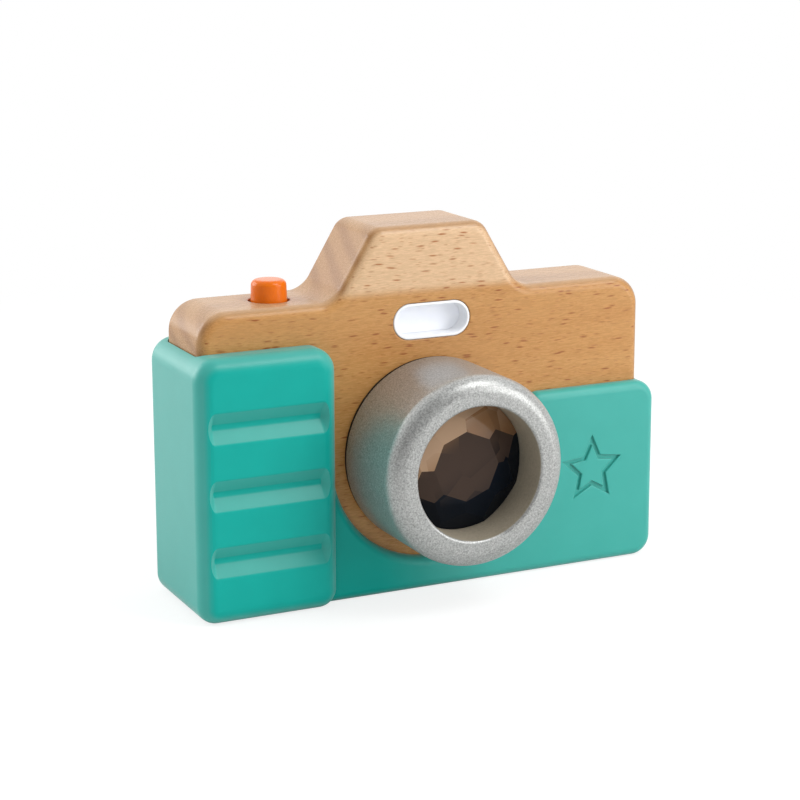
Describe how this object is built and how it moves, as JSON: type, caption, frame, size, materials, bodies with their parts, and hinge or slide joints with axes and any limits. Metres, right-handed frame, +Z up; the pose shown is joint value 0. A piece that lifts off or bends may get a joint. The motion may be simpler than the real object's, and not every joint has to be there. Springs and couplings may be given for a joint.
{
  "type": "toy camera",
  "caption": "Wooden toy camera in a silicone grip sleeve, with a push button on top, a flash slot and a turning barrel that holds a faceted lens to look through.",
  "frame": {"origin": "middle of the sleeve's flat underside, on the surface the camera stands on, below the middle of the wooden block", "axes": "+Z up; -Y is the front, where the lens points; +X is to the right of someone who looks at the front"},
  "size_m": [0.136, 0.059, 0.0978],
  "materials": {
    "beech": "clear satin varnish on beech",
    "tube_wood": "bare beech",
    "silver_paint": "satin silver paint on turned beech",
    "silicone": "soft matt moulded silicone",
    "orange_plastic": "satin moulded plastic",
    "acrylic": "clear faceted acrylic",
    "black_plastic": "fine matt texture",
    "black_rubber": "matt",
    "grey_plastic": "matt",
    "white_plastic": "satin white",
    "diffuser_plastic": "milky translucent",
    "steel": "zinc plated",
    "cell_steel": "nickel plated",
    "contact_brass": "plain",
    "board_green": "solder mask",
    "red_wire": "soft insulation",
    "black_wire": "soft insulation"
  },
  "bodies": {
    "camera_body": {"wood_body": "beech", "grip_sleeve": "silicone", "lens_bush": "black_plastic", "lens_washer": "black_rubber", "button_spring": "steel", "module_case": "black_plastic", "case_screw_1": "steel", "case_screw_2": "steel", "case_screw_3": "steel", "case_screw_4": "steel", "battery_cell_1": "cell_steel", "battery_cell_2": "cell_steel", "battery_cell_3": "cell_steel", "battery_contact_flat": "contact_brass", "battery_contact_spring": "contact_brass", "battery_wire_1": "red_wire", "battery_wire_2": "black_wire", "circuit_board": "board_green", "sound_chip": "black_plastic", "switch_body": "grey_plastic", "speaker_frame": "grey_plastic", "speaker_cone": "black_plastic", "speaker_magnet": "steel", "speaker_wire_1": "red_wire", "speaker_wire_2": "black_wire", "flash_reflector": "white_plastic", "flash_diffuser": "diffuser_plastic", "flash_led": "diffuser_plastic", "led_wire_1": "red_wire", "led_wire_2": "black_wire"},
    "shutter": {"shutter_button": "orange_plastic"},
    "plunger": {"switch_plunger": "white_plastic"},
    "lens": {"lens_barrel": "silver_paint", "lens_tube": "tube_wood", "kaleidoscope_lens": "acrylic", "eyepiece_ring": "silver_paint"},
    "door": {"battery_door": "black_plastic", "battery_door_screw": "steel"}
  },
  "joints": [
    {"name": "shutter_press", "type": "slide", "parent": "camera_body", "child": "shutter", "axis": [0, 0, -1], "range_m": [0, 0.003], "stiffness_N_per_m": 400, "springref_m": -0.002, "deforming": ["button_spring"]},
    {"name": "plunger_press", "type": "slide", "parent": "camera_body", "child": "plunger", "axis": [0, 0, -1], "range_m": [0, 0.003]},
    {"name": "lens_turn", "type": "hinge", "parent": "camera_body", "child": "lens", "pos_m": [0, 0, 0.0378], "axis": [0, 1, 0], "continuous": true},
    {"name": "battery_door_lift", "type": "slide", "parent": "camera_body", "child": "door", "axis": [0, 1, 0], "range_m": [0, 0.03]}
  ],
  "couplings": [
    {"joint": "plunger_press", "follows": "shutter_press", "ratio": 1}
  ]
}
